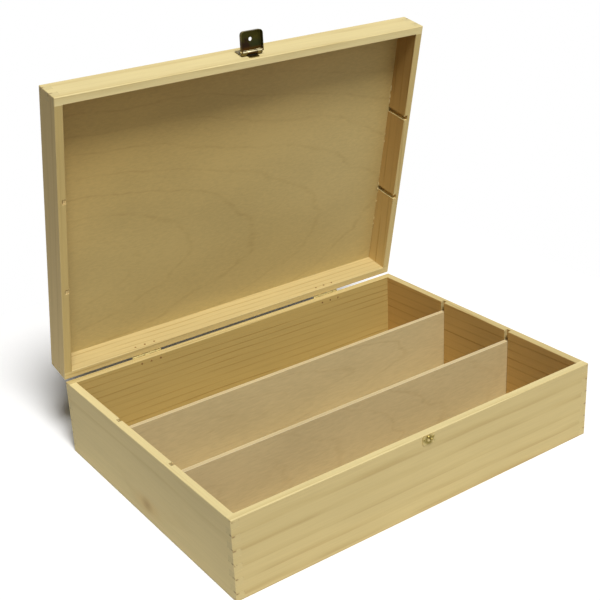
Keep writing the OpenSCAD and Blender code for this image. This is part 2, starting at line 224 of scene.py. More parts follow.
class StudioSettings(bpy.types.PropertyGroup):
    """Floor, light and camera."""
    floor: colour("Floor", "Pale floor, as the object's surroundings see it", "#F6F6F6")
    key: FloatProperty(name="Key light", description="Brightness that the key light gives a "
                       "surface square to it, as a share of white", min=0, default=0.98)
    fill: FloatProperty(name="Fill light", description="The same for the fill light, which comes "
                        "low from the front", min=0, default=0.13)
    ambient: share("Ambient light", "Brightness of the room all round", 0.06)
    warmth: colour("Ambient colour", "Of the room's light, warmed by the wood", "#FFF3DC")
    softness: FloatProperty(name="Key softness", description="Angle that the key light fills",
                            subtype="ANGLE", min=0, max=math.pi, default=math.radians(18))
    fill_softness: FloatProperty(name="Fill softness", description="Angle that the fill light fills",
                                 subtype="ANGLE", min=0, max=math.pi, default=math.radians(60))


# ---------- shader nodes ----------

MIX_A, MIX_B, MIX_OUT = 6, 7, 2     # a Mix node's two colours and its result, by number
IN_COLOUR = {"data_type": "RGBA"}   # a Mix node's setting for colours
# A Map Range node's setting: input 0 is eased from the range 1 to 2 to the range 3 to 4.
EASED = {"interpolation_type": "SMOOTHSTEP"}
NODE_STEP = 190                     # spacing of the nodes in the editor
TO_MM = (1 / MM,) * 3               # a Mapping node's scale, for points in millimetres


def add_node(tree, kind, links=None, **settings):
    """Adds a node with its settings, fills its inputs with values or links, gives its outputs."""
    node = tree.nodes.new("ShaderNode" + kind)
    node.location.x = NODE_STEP * len(tree.nodes)
    for name, value in settings.items():
        setattr(node, name, value)
    for name, value in (links or {}).items():
        socket = node.inputs[name]
        if isinstance(value, bpy.types.NodeSocket):
            tree.links.new(value, socket)
        elif socket.type == "RGBA":
            socket.default_value = (*value, 1.0)
        else:
            socket.default_value = value
    return node.outputs


def start_material(name):
    """A new material and its empty node tree."""
    material = bpy.data.materials.new(name)
    material.use_nodes = True
    material.node_tree.nodes.clear()
    return material, material.node_tree


def finish_surface(tree, links, height=None, relief=0.0):
    """Closes a tree with its surface shader; height is raised as relief, in millimetres."""
    if height is not None:
        links["Normal"] = add_node(tree, "Bump", {
            "Height": height, "Distance": relief * MM, "Strength": 1.0})[0]
    shader = add_node(tree, "BsdfPrincipled", links)[0]
    add_node(tree, "OutputMaterial", {"Surface": shader})


def laid_over(tree, under, over, value, low, high, share_low=0.0, share_high=1.0):
    """A colour laid over another: its share is eased from one to the other as value rises."""
    amount = add_node(tree, "MapRange", {0: value, 1: low, 2: high, 3: share_low, 4: share_high},
                      **EASED)[0]
    return add_node(tree, "Mix", {0: amount, MIX_A: under, MIX_B: over}, **IN_COLOUR)[MIX_OUT]


def carcass_point(tree, on_lid):
    """Each point's place in the shut box, in millimetres."""
    here = add_node(tree, "TexCoord")["Object"]
    home = SHUTTING if on_lid else Matrix.Identity(4)
    return add_node(tree, "Mapping", {"Vector": here, "Location": home.translation / MM,
                                      "Rotation": home.to_euler(), "Scale": TO_MM})[0]


def carcass_normal(tree, on_lid):
    """The way each face looks, with the lid shut."""
    normal = add_node(tree, "TexCoord")["Normal"]
    home = SHUTTING if on_lid else Matrix.Identity(4)
    return add_node(tree, "Mapping", {"Vector": normal, "Rotation": home.to_euler()},
                    vector_type="VECTOR")[0]


def grain_noise(tree, point, along, across, detail=2.0, shift=0.0):
    """Noise from 0 to 1 whose grains are along by across millimetres, in a log's own axes."""
    scaled = add_node(tree, "VectorMath", {0: point, 1: (1 / along, 1 / across, 1 / across)},
                      operation="MULTIPLY")[0]
    moved = add_node(tree, "VectorMath", {0: scaled, 1: (shift,) * 3})[0]
    return add_node(tree, "TexNoise", {
        "Vector": moved, "Scale": 1.0, "Detail": detail, "Roughness": 0.55})[0]


def distance_from_axis(tree, point, across):
    """How far a point is from a line through the origin; across holds 1 for the axes across it."""
    flat = add_node(tree, "VectorMath", {0: point, 1: across}, operation="MULTIPLY")[0]
    return add_node(tree, "VectorMath", {0: flat}, operation="LENGTH")[1]


@dataclass
class Log:
    """The log that a piece was cut from, in millimetres and degrees."""
    pith: tuple             # a point on its axis
    turn: tuple             # how its axis is turned from X
    ring: float             # width of a year's ring
    line: float = 0.0       # radius of one dark line
    warp: float = 3.5       # how far the rings stray
    wave: tuple = (150, 80) # how long that takes along and across the grain
    ragged: float = 1.5     # how raggedly they stray
    late: float = 0.72      # share of a ring's width at which its late wood starts
    dark: float = 1.0       # how dark its rings are
    seed: float = 0.0       # sets its own luck


RING_END = 0.92         # share of a ring's width at which its late wood is darkest


def growth_rings(tree, point, log, bulge=None):
    """0 in early wood, rising to 1 in each ring's dark late wood; also gives the log's axes."""
    turn = [math.radians(angle) for angle in log.turn]
    own = add_node(tree, "Mapping", {"Vector": point, "Location": log.pith, "Rotation": turn},
                   vector_type="TEXTURE")[0]
    radius = distance_from_axis(tree, own, (0, 1, 1))
    sway = grain_noise(tree, own, log.wave[0], log.wave[1], log.ragged, log.seed)
    radius = add_node(tree, "Math", {0: sway, 1: log.warp, 2: radius},
                      operation="MULTIPLY_ADD")[0]
    if bulge is not None:
        radius = add_node(tree, "Math", {0: radius, 1: bulge}, operation="SUBTRACT")[0]
    start = add_node(tree, "Math", {0: radius, 1: log.line + log.warp / 2},
                     operation="SUBTRACT")[0]
    phase = add_node(tree, "Math", {0: start, 1: log.ring}, operation="DIVIDE")[0]
    part = add_node(tree, "Math", {0: phase}, operation="FRACT")[0]
    swell = add_node(tree, "MapRange", {0: part, 1: log.late, 2: RING_END}, **EASED)[0]
    close = add_node(tree, "MapRange", {0: part, 1: RING_END, 3: 1.0, 4: 0.0}, **EASED)[0]
    late = add_node(tree, "Math", {0: swell, 1: close}, operation="MULTIPLY")[0]
    year = add_node(tree, "Math", {0: phase, 1: log.seed}, operation="ADD")[0]
    year = add_node(tree, "Math", {0: year}, operation="FLOOR")[0]
    luck = add_node(tree, "TexWhiteNoise", {"W": year}, noise_dimensions="1D")[0]
    strength = add_node(tree, "MapRange", {0: luck, 3: 0.45 * log.dark, 4: log.dark}, **EASED)[0]
    fading = grain_noise(tree, own, 65, 7, 1.0, log.seed + 8)
    fading = add_node(tree, "MapRange", {0: fading, 1: 0.3, 2: 0.65, 3: 0.25}, **EASED)[0]
    strength = add_node(tree, "Math", {0: strength, 1: fading}, operation="MULTIPLY")[0]
    rings = add_node(tree, "Math", {0: late, 1: strength}, operation="MULTIPLY")[0]
    return rings, own


def finish_wood(tree, wood, fibre, drift, tone, height, relief, roughness):
    """Closes a wood's tree, with its colour's brightness varied along its fibres and in slow
    drifts. tone is where that starts and ends, and the darkest and brightest."""
    streaks = add_node(tree, "Math", {0: fibre, 1: drift}, operation="ADD")[0]
    low, high, darkest, brightest = tone
    value = add_node(tree, "MapRange", {0: streaks, 1: low, 2: high, 3: darkest, 4: brightest},
                     **EASED)[0]
    wood = add_node(tree, "HueSaturation", {"Color": wood, "Value": value})[0]
    finish_surface(tree, {"Base Color": wood, "Roughness": roughness, "Specular IOR Level": 0.35},
                   height, relief)


# ---------- planks ----------

# Each plank was sawn into a base board and a lid board, so both take their figure from one log.
# PALER holds how far a lid board is drawn paler than the base board below it, as painted light, or
# darker if negative, as painted shade; RIMS how pale the rim is on the base and lid board, below 1
# painted shade.
PLANKS = {
    "front": Log(pith=(0, -11, 150), turn=(0, 0.4, 0), ring=9.3, line=153.8, late=0.45,
                 seed=3.1),
    "back": Log(pith=(0, 60, -55), turn=(0, 1.2, 1.0), ring=5.2, wave=(130, 30), dark=1.8,
                seed=7.7),
    "left": Log(pith=(-80, 0, 22), turn=(0, -0.6, 90), ring=5.2, line=100, warp=5.0,
                wave=(120, 34), late=0.6, dark=0.5, seed=12.4),
    "right": Log(pith=(110, 0, 160), turn=(0, 1.8, 90), ring=7.5, dark=1.8, seed=19.2),
}
PALER = {"front": 0.8, "back": 0.6, "left": -0.35, "right": -0.1}
RIMS = {"front": (1.0, 1.0), "back": (0.42, 0.5), "left": (1.0, 0.22), "right": (0.5, 0.3)}
# The axis that a plank's inner face looks along, and which way.
INWARD = {"front": (1, 1), "back": (1, -1), "left": (0, 1), "right": (0, -1)}
END_SHARE = 0.3         # how far a comb's end grain differs from the face that it lies in
STAIN_SHARE = 0.72      # how much of a comb's colour its stains take
KNOT = Vector((-180, -3, 14))       # centre of the left plank's knot, in millimetres
KNOT_SWELL = (30, 75, 42)           # half the size of the oval where the rings bend round it
KNOT_HALO = (20, 30, 11)            # the same for its brown halo
KNOT_HEART = (9, 12, 8.5)           # and for its dark heart


def knot_nearness(tree, point, size, strength):
    """Strength at the knot's centre, falling to 0 at the edge of an oval of that size."""
    away = add_node(tree, "VectorMath", {0: point, 1: KNOT}, operation="SUBTRACT")[0]
    away = add_node(tree, "VectorMath", {0: away, 1: size}, operation="DIVIDE")[0]
    distance = add_node(tree, "VectorMath", {0: away}, operation="LENGTH")[1]
    return add_node(tree, "MapRange", {0: distance, 3: strength, 4: 0.0}, **EASED)[0]


def inner_and_rim(tree, normal, plank):
    """Where a board's inner face shows, and where the saw cut between base and lid does."""
    axis, sign = INWARD[plank]
    looks = add_node(tree, "SeparateXYZ", {0: normal})
    inward = add_node(tree, "MapRange", {0: looks[axis], 1: sign * 0.6, 2: sign * 0.8},
                      **EASED)[0]
    up = add_node(tree, "Math", {0: looks[2]}, operation="ABSOLUTE")[0]
    return inward, add_node(tree, "MapRange", {0: up, 1: 0.6, 2: 0.8}, **EASED)[0]


def end_grain(tree, point, normal, along_x):
    """Where end grain shows, where a groove's walls do, and where the comb joint is stained."""
    wall = WALL / MM
    facing = add_node(tree, "SeparateXYZ", {0: normal})
    place = add_node(tree, "SeparateXYZ", {0: point})
    facing_end = add_node(tree, "Math", {0: facing[0 if along_x else 1]}, operation="ABSOLUTE")[0]
    facing_ends = add_node(tree, "MapRange", {0: facing_end, 1: 0.6, 2: 0.8}, **EASED)[0]
    steps = add_node(tree, "Math", {0: place[2], 1: FIRST_FINGER}, operation="SUBTRACT")[0]
    gap = add_node(tree, "Math", {0: steps, 1: FINGER}, operation="PINGPONG")[0]
    near_edge = add_node(tree, "MapRange", {0: gap, 1: 0.6, 2: 1.9, 3: 1.0, 4: 0.0}, **EASED)[0]
    low = (CARCASS_HIGH.y if along_x else CARCASS_HIGH.x) / MM - wall
    side = add_node(tree, "Math", {0: place[1 if along_x else 0]}, operation="ABSOLUTE")[0]
    from_root = add_node(tree, "Math", {0: side, 1: low}, operation="SUBTRACT")[0]
    joint = add_node(tree, "MapRange", {0: from_root, 1: -1.0, 2: 0.0}, **EASED)[0]
    ends = add_node(tree, "Math", {0: facing_ends, 1: joint}, operation="MULTIPLY")[0]
    grooves = add_node(tree, "Math", {0: facing_ends, 1: ends}, operation="SUBTRACT")[0]
    near_root = add_node(tree, "MapRange", {0: from_root, 1: 0.1, 2: 0.8, 3: 0.6, 4: 0.0},
                         **EASED)[0]
    near_corner = add_node(tree, "MapRange", {0: from_root, 1: wall - 3.6, 2: wall - 1.8},
                           **EASED)[0]
    near = add_node(tree, "Math", {0: near_root, 1: near_corner}, operation="MAXIMUM")[0]
    near = add_node(tree, "Math", {0: near_edge, 1: near}, operation="MULTIPLY")[0]
    torn = grain_noise(tree, point, 2.2, 2.2, 1.0, 4.0)
    torn = add_node(tree, "MapRange", {0: torn, 1: 0.37, 2: 0.47}, **EASED)[0]
    stain = add_node(tree, "Math", {0: near, 1: torn}, operation="MULTIPLY")[0]
    stain = add_node(tree, "Math", {0: stain, 1: ends}, operation="MULTIPLY")[0]
    return ends, grooves, stain


def between(first, second, amount):
    """The colour that lies at that share of the way from first to second."""
    return tuple(a + (b - a) * amount for a, b in zip(first, second))


def outer_tone(plank, on_lid, settings):
    """The colour of a board's planed outer face, before its rings; on the lid, with PALER's painted
    light and shade.
    """
    wood = tuple(getattr(settings, plank))
    if not on_lid:
        return wood
    other = settings.fresh if PALER[plank] > 0 else settings.inner
    return between(wood, other, abs(PALER[plank]))


def inner_tone(tree, point, plank, on_lid, settings):
    """The colour of a board's inner face, before its rings, with painted shade and painted light in
    it.
    """
    if plank == "back":
        return settings.lid_back_inner if on_lid else settings.back_inner
    if not on_lid:
        return settings.inner
    # Inside the lid's side boards: painted shade towards the lid's front, and painted light, paler,
    # towards the hinges.
    back = add_node(tree, "SeparateXYZ", {0: point})[1]
    inner = laid_over(tree, settings.inner, settings.painted_shade_pine, back, -120, 30, 1.0, 0.0)
    return laid_over(tree, inner, settings.fresh, back, -20, 130, 0.0, 0.45)


def planed_pine(plank, on_lid, settings):
    """Planed and sanded pine, untreated: matt, pale yellow, with wide faint rings that run out
    as arcs at the sawn ends, and fine streaks of fibre along the grain."""
    log = PLANKS[plank]
    along_x = plank in ("front", "back")
    material, tree = start_material(f"planed_pine_{plank}_{'lid' if on_lid else 'base'}")
    point = carcass_point(tree, on_lid)
    if on_lid:
        point = add_node(tree, "VectorMath", {0: point, 1: (0, 0, SAW_LOSS)})[0]
    bulge = None
    if plank == "left":
        bulge = knot_nearness(tree, point, KNOT_SWELL, 1.8)
    rings, own = growth_rings(tree, point, log, bulge)
    # Real fibres are too fine to show, so a streak stands for a bundle of them.
    fibre = grain_noise(tree, own, 42, settings.fibre / MM, 2.0, log.seed)
    drift = grain_noise(tree, own, 150, 38, 2.0, log.seed + 5)
    looks = carcass_normal(tree, on_lid)
    inward, fresh = inner_and_rim(tree, looks, plank)
    outer = outer_tone(plank, on_lid, settings)
    inner = inner_tone(tree, point, plank, on_lid, settings)
    # RIMS darkens some rims towards the back board's inside colour, as painted shade.
    rim = between(settings.back_inner, settings.fresh, RIMS[plank][on_lid])
    wood = add_node(tree, "Mix", {0: inward, MIX_A: outer, MIX_B: inner}, **IN_COLOUR)[MIX_OUT]
    wood = add_node(tree, "Mix", {0: fresh, MIX_A: wood, MIX_B: rim}, **IN_COLOUR)[MIX_OUT]
    amount = add_node(tree, "Math", {0: rings, 1: settings.late_share}, operation="MULTIPLY")[0]
    wood = add_node(tree, "Mix", {0: amount, MIX_A: wood, MIX_B: settings.late},
                    blend_type="MULTIPLY", **IN_COLOUR)[MIX_OUT]
    if plank == "left":
        halo = knot_nearness(tree, point, KNOT_HALO, 0.5)
        heart = knot_nearness(tree, point, KNOT_HEART, 0.42)
        wood = add_node(tree, "Mix", {0: halo, MIX_A: wood, MIX_B: settings.inner},
                        **IN_COLOUR)[MIX_OUT]
        wood = add_node(tree, "Mix", {0: heart, MIX_A: wood, MIX_B: settings.knot},
                        **IN_COLOUR)[MIX_OUT]
    ends, grooves, stain = end_grain(tree, point, looks, along_x)
    beside = outer_tone("left" if along_x else "front", on_lid, settings)
    sawn = between(beside, settings.end, END_SHARE)
    stain = add_node(tree, "Math", {0: stain, 1: STAIN_SHARE}, operation="MULTIPLY")[0]
    for amount, colour_there in ((grooves, settings.fresh), (ends, sawn), (stain, settings.stain)):
        wood = add_node(tree, "Mix", {0: amount, MIX_A: wood, MIX_B: colour_there},
                        **IN_COLOUR)[MIX_OUT]
    # Painted shadow: the base boards are darkened with the stain colour along their lowest millimetre,
    # for the floor's contact shadow.
    if not on_lid:
        up = add_node(tree, "SeparateXYZ", {0: point})[2]
        wood = laid_over(tree, wood, settings.stain, up, 0.2, 0.9, 0.5, 0.0)
    height = add_node(tree, "Math", {0: rings, 1: fibre}, operation="ADD")[0]
    finish_wood(tree, wood, fibre, drift, (0.5, 1.5, 0.94, 1.05), height, 0.05, 0.62)
    return material


# ---------- plywood ----------

CORE_HALF = 0.22        # from a panel's middle to its glue lines, as a share of its thickness


def sanded_plywood(name, on_lid, through, middle, thickness, log, face, settings):
    """Thin sanded plywood: peeled face veneers with long contour lines, and at an edge the
    crossed core between two dark glue lines. through is 1 or 2, the axis of its thickness."""
    material, tree = start_material(name)
    point = carcass_point(tree, on_lid)
    rings, own = growth_rings(tree, point, log)
    # As on the boards, a streak stands for a bundle of fibres.
    fibre = grain_noise(tree, own, 36, 1.4, 2.5, log.seed)
    drift = grain_noise(tree, own, 120, 60, 2.0, log.seed + 3)
    amount = add_node(tree, "Math", {0: rings, 1: settings.figure_share},
                      operation="MULTIPLY")[0]
    place = add_node(tree, "SeparateXYZ", {0: point})
    wood = face
    # Painted shade: the veneer is browned towards the lid's front, for the shadow of its front board.
    if on_lid:
        slant = add_node(tree, "Math", {0: place[0], 1: 0.22, 2: place[1]},
                         operation="MULTIPLY_ADD")[0]
        wood = laid_over(tree, face, settings.warm, slant, -175, 50, 0.35, 0.0)
    wood = add_node(tree, "Mix", {0: amount, MIX_A: wood, MIX_B: settings.figure},
                    blend_type="MULTIPLY", **IN_COLOUR)[MIX_OUT]
    looks = add_node(tree, "SeparateXYZ", {0: carcass_normal(tree, on_lid)})
    facing = add_node(tree, "Math", {0: looks[through]}, operation="ABSOLUTE")[0]
    wood = laid_over(tree, wood, settings.edge, facing, 0.4, 0.6, 1.0, 0.0)
    depth = add_node(tree, "Math", {0: place[through], 1: middle}, operation="SUBTRACT")[0]
    depth = add_node(tree, "Math", {0: depth}, operation="ABSOLUTE")[0]
    from_line = add_node(tree, "Math", {0: depth, 1: thickness * CORE_HALF},
                         operation="SUBTRACT")[0]
    from_line = add_node(tree, "Math", {0: from_line}, operation="ABSOLUTE")[0]
    wood = laid_over(tree, wood, settings.core, depth, thickness * (CORE_HALF - 0.02),
                     thickness * (CORE_HALF + 0.02), 1.0, 0.0)
    wood = laid_over(tree, wood, settings.glue, from_line, 0.05, 0.22, 0.45, 0.0)
    finish_wood(tree, wood, fibre, drift, (0.6, 1.4, 0.9, 1.06), fibre, 0.03, 0.58)
    return material


# ---------- brass and the rest ----------

BRASS_RELIEF = 0.01     # depth of the pressed sheet's fine grain, in millimetres


def plated_brass(name, settings, bright, dull=None, at=None):
    """Brass-plated steel sheet, pressed and tumbled: a warm metal that is bright where it is
    touched and dulled in patches. at is a point that its own patterns are centred on."""
    material, tree = start_material(name)
    here = add_node(tree, "TexCoord")["Object"]
    centre = Vector(at or (0, 0, 0)) / MM
    point = add_node(tree, "Mapping", {"Vector": here, "Location": -centre, "Scale": TO_MM})[0]
    patches = grain_noise(tree, point, 3.2, 3.2, 3.0)
    patches = add_node(tree, "MapRange", {0: patches, 1: 0.4, 2: 0.65}, **EASED)[0]
    # The real grain is too fine to show, so it is drawn half a millimetre wide.
    grain = grain_noise(tree, point, 0.5, 0.5, 2.0)
    metal = add_node(tree, "Mix", {0: patches, MIX_A: bright, MIX_B: dull or settings.dull},
                     **IN_COLOUR)[MIX_OUT]
    rough = add_node(tree, "MapRange", {
        0: patches, 3: settings.roughness, 4: settings.roughness + 0.16}, **EASED)[0]
    return material, tree, point, grain, {"Base Color": metal, "Roughness": rough, "Metallic": 1.0}


def plain_brass(name, settings, bright, dull=None):
    """Brass-plated sheet with nothing more than its dulled patches."""
    material, tree, _, grain, links = plated_brass(name, settings, bright, dull)
    finish_surface(tree, links, grain, BRASS_RELIEF)
    return material


def paint_barrel_highlight(tree, point, plating, settings):
    """Painted highlight: plating drawn pale along the top of the clasp's barrel; point is from its
    pin's axis.
    """
    reach = distance_from_axis(tree, point, (0, 1, 1))
    barrel = add_node(tree, "MapRange", {
        0: reach, 1: PIN_ROUND + 0.1, 2: PIN_ROUND + 0.4, 3: 1.0, 4: 0.0}, **EASED)[0]
    height = add_node(tree, "SeparateXYZ", {0: point})[2]
    top = add_node(tree, "MapRange", {0: height, 1: 0.5, 2: 1.2}, **EASED)[0]
    painted_light = add_node(tree, "Math", {0: barrel, 1: top}, operation="MULTIPLY")[0]
    return add_node(tree, "Mix", {0: painted_light, MIX_A: plating, MIX_B: settings.painted_light},
                    **IN_COLOUR)[MIX_OUT]


def barrel_brass(settings):
    """The clasp plate's and its pin's plated sheet, with a painted highlight along the barrel."""
    material, tree, point, grain, links = plated_brass(
        "plated_brass_clasp", settings, settings.plating, at=JOINTS["hasp_hinge"]["pos_m"])
    links["Base Color"] = paint_barrel_highlight(tree, point, links["Base Color"], settings)
    finish_surface(tree, links, grain, BRASS_RELIEF)
    return material


def hollow_brass(settings):
    """The hasp's plated sheet: dulled outside, and dark and mottled in its hollow and on its
    walls, as painted shade in the hollow and painted reflection on the walls."""
    material, tree, point, grain, links = plated_brass(
        "plated_brass_hasp", settings, settings.plating, at=JOINTS["hasp_hinge"]["pos_m"])
    place = add_node(tree, "SeparateXYZ", {0: point})
    mottle = grain_noise(tree, point, 4.5, 4.5, 2.0, 3.0)
    across = add_node(tree, "Math", {0: mottle, 1: 12.0, 2: place[0]},
                      operation="MULTIPLY_ADD")[0]
    height = add_node(tree, "Math", {0: mottle, 1: 10.0, 2: place[2]},
                      operation="MULTIPLY_ADD")[0]
    hollow = laid_over(tree, settings.hollow, settings.right_hollow_shade, across, 3.0, 9.0)
    hollow = laid_over(tree, hollow, settings.tip, height, 12.0, 18.0)
    hollow = laid_over(tree, hollow, settings.root, place[2], 2.5, 5.5, 0.8, 0.0)
    # Painted shade and painted reflection: the hollow and the side walls take the hollow's dark
    # colours.
    looks = add_node(tree, "TexCoord")["Normal"]
    looks = add_node(tree, "SeparateXYZ", {0: looks})
    deep = add_node(tree, "MapRange", {0: looks[1], 1: -0.75, 2: -0.35, 3: 1.0, 4: 0.0},
                    **EASED)[0]
    walls = add_node(tree, "Math", {0: looks[0]}, operation="ABSOLUTE")[0]
    walls = add_node(tree, "MapRange", {0: walls, 1: 0.4, 2: 0.7, 4: 0.7}, **EASED)[0]
    dark = add_node(tree, "Math", {0: deep, 1: walls}, operation="MAXIMUM")[0]
    sheet = add_node(tree, "Mix", {0: dark, MIX_A: links["Base Color"], MIX_B: hollow},
                     **IN_COLOUR)[MIX_OUT]
    links["Base Color"] = paint_barrel_highlight(tree, point, sheet, settings)
    links["Roughness"] = add_node(tree, "MapRange", {0: dark, 3: settings.roughness, 4: 0.5},
                                  **EASED)[0]
    finish_surface(tree, links, grain, BRASS_RELIEF)
    return material


def shaded_keeper_brass(settings):
    """The keeper's plate: pale and dull, with painted shade in a darker ring round its stud."""
    low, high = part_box("keeper_plate")
    material, tree, point, grain, links = plated_brass(
        "plated_brass_keeper", settings, settings.keeper, settings.aged, (low + high) / 2)
    # Painted shade: a ring round the stud, where its shadow falls.
    reach = distance_from_axis(tree, point, (1, 0, 1))
    outside = add_node(tree, "MapRange", {0: reach, 1: 1.2, 2: 2.2}, **EASED)[0]
    painted_light = add_node(tree, "MapRange", {0: reach, 1: 2.4, 2: 5.5, 3: 0.9, 4: 0.0}, **EASED)[0]
    painted_light = add_node(tree, "Math", {0: painted_light, 1: outside}, operation="MULTIPLY")[0]
    links["Base Color"] = add_node(tree, "Mix", {
        0: painted_light, MIX_A: links["Base Color"], MIX_B: settings.olive}, **IN_COLOUR)[MIX_OUT]
    links["Roughness"] = 0.45
    finish_surface(tree, links, grain, BRASS_RELIEF)
    return material


def dried_glue(settings):
    """Dried wood glue: pale, slightly glossy, a little translucent at its thin edges."""
    material, tree = start_material("dried_glue")
    finish_surface(tree, {"Base Color": settings.glue, "Roughness": 0.35,
                          "Subsurface Weight": 0.1, "Subsurface Radius": (MM,) * 3})
    return material


def torn_wood(name, first, second):
    """Torn pine fibres, mottled because some lie in the others' shade."""
    material, tree = start_material(name)
    here = add_node(tree, "TexCoord")["Object"]
    point = add_node(tree, "Mapping", {"Vector": here, "Scale": TO_MM})[0]
    fibres = laid_over(tree, first, second, grain_noise(tree, point, 0.8, 0.8), 0.35, 0.65)
    finish_surface(tree, {"Base Color": fibres, "Roughness": 0.8})
    return material


# ---------- meshes ----------

SHARP_FROM = math.radians(35)       # faces that meet at more than this keep a sharp edge
HINGE_NAILS = 3         # nails in each leaf of a hinge, and in the clasp's plate
KEEPER_NAILS = 2
NAIL_DOME = 0.5 * MM    # how far a nail's head stands up
NAIL_SHANK = 1.3 * MM   # diameter of its shank
GROOVE_HALF = 2.25 * MM # half the width of a divider's groove
BURRS = 9               # standing fibres at each side of a groove's mouth
BURR_RADIUS = 0.24 * MM # of a fibre, at its thicker end
# Torn fibres, and painted light: their pale colour covers the shade in the mouths of the lid's left
# grooves.
BRIDGES = 14            # fibres lying across the mouth of each groove on the lid's left
BRIDGE_REACH = 2.9 * MM # how far along the groove they lie
NEW_PATCH = 0.3         # chance that the next bead of glue starts a new patch


def new_piece(name, mesh_maker, material, body, stands_for=(), place=None):
    """Makes one finished piece: its mesh in place at the origin, its finish, and what it rides."""
    bm = bmesh.new()
    mesh_maker(bm)
    if place is not None:
        bm.transform(place)
    bmesh.ops.recalc_face_normals(bm, faces=bm.faces)
    mesh = bpy.data.meshes.new(name)
    bm.to_mesh(mesh)
    bm.free()
    mesh.materials.append(material)
    piece = bpy.data.objects.new(name, mesh)
    bpy.context.scene.collection.objects.link(piece)
    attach(piece, body)
    if stands_for:
        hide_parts(*stands_for)
    return piece


def shade(piece):
    """Smooth shading, with edges kept sharp where faces meet at more than SHARP_FROM."""
    piece.data.shade_smooth()
    piece.data.set_sharp_from_angle(angle=SHARP_FROM)


def round_edges(piece, width):
    """A Bevel modifier on the piece's sharp edges."""
    bevel = piece.modifiers.new("sheared_edges", "BEVEL")
    bevel.width = width
    bevel.segments = 2
    bevel.limit_method = "ANGLE"
    bevel.harden_normals = False


def finish_node(node, material):
    """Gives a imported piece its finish."""
    slots = frame["nodes"][node].material_slots
    if not slots:
        frame["nodes"][node].data.materials.append(material)
    for slot in slots:
        slot.material = material


def softened_copy(node, material, edge):
    """A merged copy of a packed metal piece, with its sheared edges rounded."""
    source = frame["nodes"][node]

    def merge(bm):
        bm.from_mesh(source.data)
        bmesh.ops.remove_doubles(bm, verts=bm.verts, dist=0.002 * MM)
        bmesh.ops.dissolve_limit(bm, angle_limit=math.radians(0.5), verts=bm.verts,
                                 edges=bm.edges)

    piece = new_piece(f"{node}_soft", merge, material, source["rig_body"], [node])
    round_edges(piece, edge)
    shade(piece)


def pressed_hasp(bm):
    """The hasp as it hangs shut, from its pin's axis at the origin: a shallow tray with a round
    hole, whose side walls run on past its face, and a neck that curls round the pin. It is the
    sheet's middle surface."""
    low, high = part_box("hasp")
    pivot = Vector(JOINTS["hasp_hinge"]["pos_m"])
    half = (high.x - low.x - SHEET * MM) / 2
    tip = high.z - pivot.z - SHEET * MM / 2
    face_y = (SHEET / 2 - PIN_ROUND) * MM
    rim_y = pivot.y - low.y
    notch, start, bend = HASP_NOTCH * MM, HASP_WALL_END * MM, HASP_BEND * MM

    square = bmesh.ops.create_grid(bm, x_segments=1, y_segments=1, size=1)["verts"]
    for vertex in square:
        vertex.co = Vector((vertex.co.x * half, face_y, -start if vertex.co.y > 0 else -tip))
    far = [vertex for vertex in square if vertex.co.z < -tip / 2]
    bmesh.ops.bevel(bm, geom=far, affect="VERTICES", offset=HASP_CORNER * MM, segments=7,
                    profile=0.5, material=-1)
    outline = bm.edges[:]
    turn = Matrix.Rotation(math.pi / 2, 4, "X")
    hole = bmesh.ops.create_circle(bm, segments=24, radius=HASP_HOLE * MM / 2,
                                   matrix=Matrix.Translation((0, face_y, -HASP_HOLE_AT * MM)) @ turn)
    ring = {edge for vertex in hole["verts"] for edge in vertex.link_edges}
    bmesh.ops.delete(bm, geom=bm.faces[:], context="FACES_ONLY")
    bmesh.ops.triangle_fill(bm, use_beauty=True, use_dissolve=False, edges=outline + list(ring))

    turned = [e for e in outline if any(v.co.z < -start - MM / 100 for v in e.verts)]
    wall = bmesh.ops.extrude_edge_only(bm, edges=turned)["geom"]
    for vertex in (v for v in wall if isinstance(v, bmesh.types.BMVert)):
        vertex.co.y = rim_y
    bmesh.ops.bevel(bm, geom=turned, affect="EDGES", offset=bend, segments=4, profile=0.5,
                    material=-1)
    bmesh.ops.bisect_plane(bm, geom=bm.verts[:] + bm.edges[:] + bm.faces[:], dist=MM / 1000,
                           plane_co=(0, 0, -notch), plane_no=(0, 0, 1))
    spare = [f for f in bm.faces if f.calc_center_median().z > -notch
             and abs(f.calc_center_median().x) < half - bend]
    bmesh.ops.delete(bm, geom=spare, context="FACES")

    neck = HASP_NECK * MM / 2
    ends = [bm.verts.new((side * neck, face_y, -notch)) for side in (-1, 1)]
    strip = bm.edges.new(ends)
    risen = bmesh.ops.extrude_edge_only(bm, edges=[strip])["geom"]
    top = [v for v in risen if isinstance(v, bmesh.types.BMVert)]
    for vertex in top:
        vertex.co.z = 0
    curl = [e for e in risen if isinstance(e, bmesh.types.BMEdge)
            and all(v in top for v in e.verts)]
    bmesh.ops.spin(bm, geom=curl + top, cent=(0, 0, 0), axis=(1, 0, 0), steps=20,
                   angle=-math.radians(305), use_duplicate=False)
    bmesh.ops.remove_doubles(bm, verts=bm.verts, dist=0.01 * MM)


def nail_row(low, high, count):
    """The x of each nail in a row between two corners of a box, and their z."""
    head = high.z - low.z
    step = (high.x - low.x - head) / (count - 1)
    return [low.x + head / 2 + i * step for i in range(count)], (low.z + high.z) / 2


